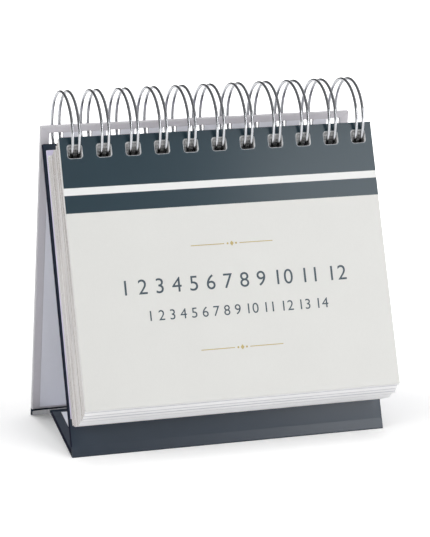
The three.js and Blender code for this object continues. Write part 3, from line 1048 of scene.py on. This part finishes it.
def punch_rims():
    """A pale ring round each hole: a painted highlight that stands in for the lit cut edge of the cover."""
    shapes = []
    for middle in HOLE_CENTRES:
        inner = [p[:2] for p in hole_outline(middle, SHEET_HOLE_TOP, SHEET_HOLE_H)]
        widened = hole_outline(middle, SHEET_HOLE_TOP - HOLE_HIGHLIGHT_W, SHEET_HOLE_H + 2 * HOLE_HIGHLIGHT_W,
                               HOLE_W + 2 * HOLE_HIGHLIGHT_W, HOLE_CORNER + HOLE_HIGHLIGHT_W)
        outer = [p[:2] for p in widened]
        for k in range(len(inner)):
            j = (k + 1) % len(inner)
            shapes.append([inner[k], outer[k], outer[j], inner[j]])
    return shapes


printed_shapes("cover_hole_highlights", punch_rims(), "rim", HOLE_HIGHLIGHT_PROUD)
printed_shapes("cover_rules", [shape for middle in RULE_MIDDLES for shape in rule_shapes(*middle)],
               "gold", PRINT_PROUD)

# Height of a numeral in the default font, as a share of the size asked for
NUMERAL_SHARE = 0.729
NUMERAL_STEPS = 6


def numerals(name, last, middle, baseline, height, spacing):
    """A row of plain numerals from 1 to last, in the default font."""
    curve = bpy.data.curves.new(name, "FONT")
    curve.body = " ".join(str(number) for number in range(1, last + 1))
    curve.align_x = "CENTER"
    curve.size = height / NUMERAL_SHARE
    curve.space_character = spacing
    curve.resolution_u = NUMERAL_STEPS
    outline = new_object(f"{name}_outline", curve)
    bpy.context.view_layer.update()
    mesh = bpy.data.meshes.new_from_object(outline.evaluated_get(bpy.context.evaluated_depsgraph_get()))
    bpy.data.objects.remove(outline)
    verts = [on_cover(middle + vert.co.x, baseline - vert.co.y, PRINT_PROUD) for vert in mesh.vertices]
    faces = [list(face.vertices) for face in mesh.polygons]
    bpy.data.meshes.remove(mesh)
    printed(name, verts, faces, "ink")


numerals("cover_month_numbers", last=12, middle=0.7, baseline=67.8, height=6.6, spacing=1.05)
numerals("cover_day_numbers", last=14, middle=1.0, baseline=79.2, height=4.5, spacing=1.0)

# Wire

LEG_STEPS, WIRE_SIDES, BEND_STEP = 72, 14, 15
WIRE_SMOOTH_ANGLE = math.radians(60)


def on_ring(x, degrees):
    """Point on the rings' circle, at an angle from straight back."""
    return world(x, RING_MIDDLE + polar(math.radians(degrees)) * RING_R)


def ring_degrees(length):
    """The part of a ring's turn that a length of wire takes up."""
    return math.degrees(length / RING_R)


def half_gap(degrees):
    """Half of the gap between a loop's two legs, which narrows from the spine to the tip."""
    share = (degrees - SPINE_ANGLE) / (360 + TIP_ANGLE - SPINE_ANGLE)
    return (SPINE_GAP + (TIP_GAP - SPINE_GAP) * share) / 2


def wire_path():
    """The wire's middle line: up one leg of each loop, round its tip, down the other leg and along the
    spine to the next loop."""
    bend = ring_degrees(WIRE_BEND)
    tip_r = TIP_GAP / 2
    tip_bend = ring_degrees(tip_r)
    first, last = SPINE_ANGLE + bend, 360 + TIP_ANGLE - tip_bend
    leg = [first + (last - first) * k / LEG_STEPS for k in range(LEG_STEPS + 1)]
    tip = [math.radians(a) for a in range(BEND_STEP - 90, 90, BEND_STEP)]
    corner = [math.radians(a) for a in range(0, 90, BEND_STEP)]

    def spine_corner(x, side):
        return [on_ring(x + side * (SPINE_GAP / 2 + WIRE_BEND * (1 - math.sin(a))),
                        SPINE_ANGLE + bend * (1 - math.cos(a))) for a in corner]

    path = []
    for i, middle in enumerate(HOLE_CENTRES):
        x = middle + WIRE_ASIDE
        if i > 0:
            path += spine_corner(x, -1)
        path += [on_ring(x - half_gap(a), a) for a in leg]
        path += [on_ring(x + tip_r * math.sin(a), last + tip_bend * math.cos(a)) for a in tip]
        path += [on_ring(x + half_gap(a), a) for a in reversed(leg)]
        if i < HOLES - 1:
            path += reversed(spine_corner(x, 1))
    return path


def round_wire(name, path):
    """A round tube along a path, whose section turns no more than the path does."""
    last = len(path) - 1
    tangents = [(path[min(i + 1, last)] - path[max(i - 1, 0)]).normalized() for i in range(len(path))]
    normal = Vector((1, 0, 0)).cross(tangents[0]).normalized()
    verts, faces = [], []
    for i, p in enumerate(path):
        if i:
            normal = (tangents[i - 1].rotation_difference(tangents[i]) @ normal).normalized()
        binormal = tangents[i].cross(normal)
        for k in range(WIRE_SIDES):
            a = 2 * math.pi * k / WIRE_SIDES
            verts.append(p + (normal * math.cos(a) + binormal * math.sin(a)) * WIRE_R * MM)
    for i in range(last):
        here, there = i * WIRE_SIDES, (i + 1) * WIRE_SIDES
        for k in range(WIRE_SIDES):
            j = (k + 1) % WIRE_SIDES
            faces.append([here + k, here + j, there + j, there + k])
    faces.append(list(reversed(range(WIRE_SIDES))))
    faces.append([last * WIRE_SIDES + k for k in range(WIRE_SIDES)])
    wire = fix_normals(mesh_object(name, verts, faces, ["wire"], smooth_angle=WIRE_SMOOTH_ANGLE))
    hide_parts("twin_loop_wire")
    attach(wire, "stand_front")


round_wire("twin_loop_wire_round", wire_path())

# Floor

FLOOR_HALF, FLOOR_DROP = 4.0, 0.00002
FLOOR_WHITE = (0.92, 0.92, 0.92, 1.0)
WHITE = (1.0, 1.0, 1.0, 1.0)

# Glow of the floor that the camera sees, between two distances from the calendar, and the glow that shiny
# surfaces mirror
GLOW_NEAR, GLOW_FAR = 0.19, 0.8
GLOW_FROM, GLOW_TO = 0.1, 0.5
MIRRORED_GLOW = 0.3


def white_ground():
    """Matt white floor that takes a soft shadow, and glows enough to be white where the lamps fade."""
    nodes = Nodes(bpy.data.materials.new("white_ground"))
    diffuse = nodes.add("ShaderNodeBsdfDiffuse", Color=FLOOR_WHITE, Roughness=1.0)
    glow = nodes.add("ShaderNodeEmission", Color=WHITE)
    path = nodes.add("ShaderNodeLightPath")
    away = nodes.add("ShaderNodeVectorMath", operation="LENGTH")
    nodes.link(nodes.coord.outputs["Object"], away.inputs[0])
    reach = nodes.spread(away.outputs["Value"], GLOW_NEAR, GLOW_FAR, GLOW_FROM, GLOW_TO)
    seen = nodes.compute("MULTIPLY", path.outputs["Is Camera Ray"], reach)
    strength = nodes.compute("MULTIPLY_ADD", path.outputs["Is Glossy Ray"], MIRRORED_GLOW, seen)
    nodes.link(strength, glow.inputs["Strength"])
    both = nodes.feed(nodes.add("ShaderNodeAddShader"), diffuse.outputs[0], glow.outputs[0])
    return nodes.finish(both)


def white_floor():
    """A wide floor just under the stand's feet."""
    corners = [(x * FLOOR_HALF, y * FLOOR_HALF, 0) for x, y in ((-1, -1), (1, -1), (1, 1), (-1, 1))]
    mesh = bpy.data.meshes.new("ground")
    mesh.from_pydata(corners, [], [[0, 1, 2, 3]])
    mesh.materials.append(white_ground())
    ground = new_object("ground", mesh)
    ground.location.z = -FLOOR_DROP


white_floor()

# Room, as papers are lit by it and as shiny surfaces mirror it, from its left side (0) to its right (1)

AMBIENT = 0.55
ROOM = [(0.0, 0.3), (0.25, 0.12), (0.6, 0.1), (0.72, 0.7), (0.86, 0.4), (1.0, 0.22)]
ROOM_BLUE = 1.02


def studio_world():
    """White to the camera, an even light for papers, and a dark room with bright panels for mirrors."""
    data = bpy.data.worlds.new("studio")
    bpy.context.scene.world = data
    nodes = Nodes(data, "ShaderNodeOutputWorld")
    even = nodes.add("ShaderNodeBackground", Strength=AMBIENT)
    seen = nodes.add("ShaderNodeBackground", Color=WHITE, Strength=1.0)
    room = nodes.add("ShaderNodeBackground", Strength=1.0)
    path = nodes.add("ShaderNodeLightPath")
    split = nodes.add("ShaderNodeSeparateXYZ")
    nodes.link(nodes.coord.outputs["Generated"], split.inputs[0])
    across = nodes.compute("MULTIPLY_ADD", split.outputs["X"], 0.5, 0.5)
    stops = [(position, (value, value, value * ROOM_BLUE, 1.0)) for position, value in ROOM]
    nodes.link(nodes.ramp(across, stops), room.inputs["Color"])
    lit = nodes.choose(path.outputs["Is Glossy Ray"], even.outputs[0], room.outputs[0])
    nodes.finish(nodes.choose(path.outputs["Is Camera Ray"], lit, seen.outputs[0]))


studio_world()

# Lamps: place, target and size in metres, and power in watts

CALENDAR = (0, 0, 0.07)
SOFT_BOX, TOP_BOX = (0.8, 0.8), (1.4, 1.4)


def turn_to(obj, place, target):
    """Puts a lamp or a camera in its place, and turns it to its target."""
    obj.location = place
    obj.rotation_euler = (target - place).to_track_quat("-Z", "Y").to_euler()


def lamp(name, place, target, size, power, diffuse=True, glossy=False):
    data = bpy.data.lights.new(name, "AREA")
    data.shape = "RECTANGLE"
    data.size, data.size_y = size
    data.energy = power
    obj = new_object(name, data)
    turn_to(obj, Vector(place), Vector(target))
    obj.visible_camera = False
    obj.visible_diffuse = diffuse
    obj.visible_glossy = glossy


lamp("soft_front", (0.5, -1.25, 0.55), CALENDAR, SOFT_BOX, 4.8)
lamp("soft_top", (0.1, 0.1, 1.5), CALENDAR, TOP_BOX, 9.0)
lamp("soft_left", (-1.1, -0.35, 0.45), CALENDAR, SOFT_BOX, 5.0)
lamp("soft_right", (1.1, -0.35, 0.45), CALENDAR, SOFT_BOX, 2.2)
lamp("sheen_card", (0.28, -0.42, 0.2), (0.06, -0.03, 0.07), (0.2, 0.34), 0.86, diffuse=False, glossy=True)

# Camera, placed and aimed in millimetres: across, and depth and height in the side plane

LENS, SENSOR = 199.15, 36.0
CAMERA_AT = (-321.565, (-928.578, 291.195))
CAMERA_AIM = (2.7515, (29.9626, 70.9196))
CLIP_START, CLIP_END = 0.05, 20.0

camera_data = bpy.data.cameras.new("camera")
camera_data.sensor_fit = "HORIZONTAL"
camera_data.sensor_width = SENSOR
camera_data.lens = LENS
camera_data.clip_start = CLIP_START
camera_data.clip_end = CLIP_END
camera = new_object("camera", camera_data)
turn_to(camera, world(*CAMERA_AT), world(*CAMERA_AIM))
bpy.context.scene.camera = camera
bpy.context.scene.view_settings.view_transform = "Standard"
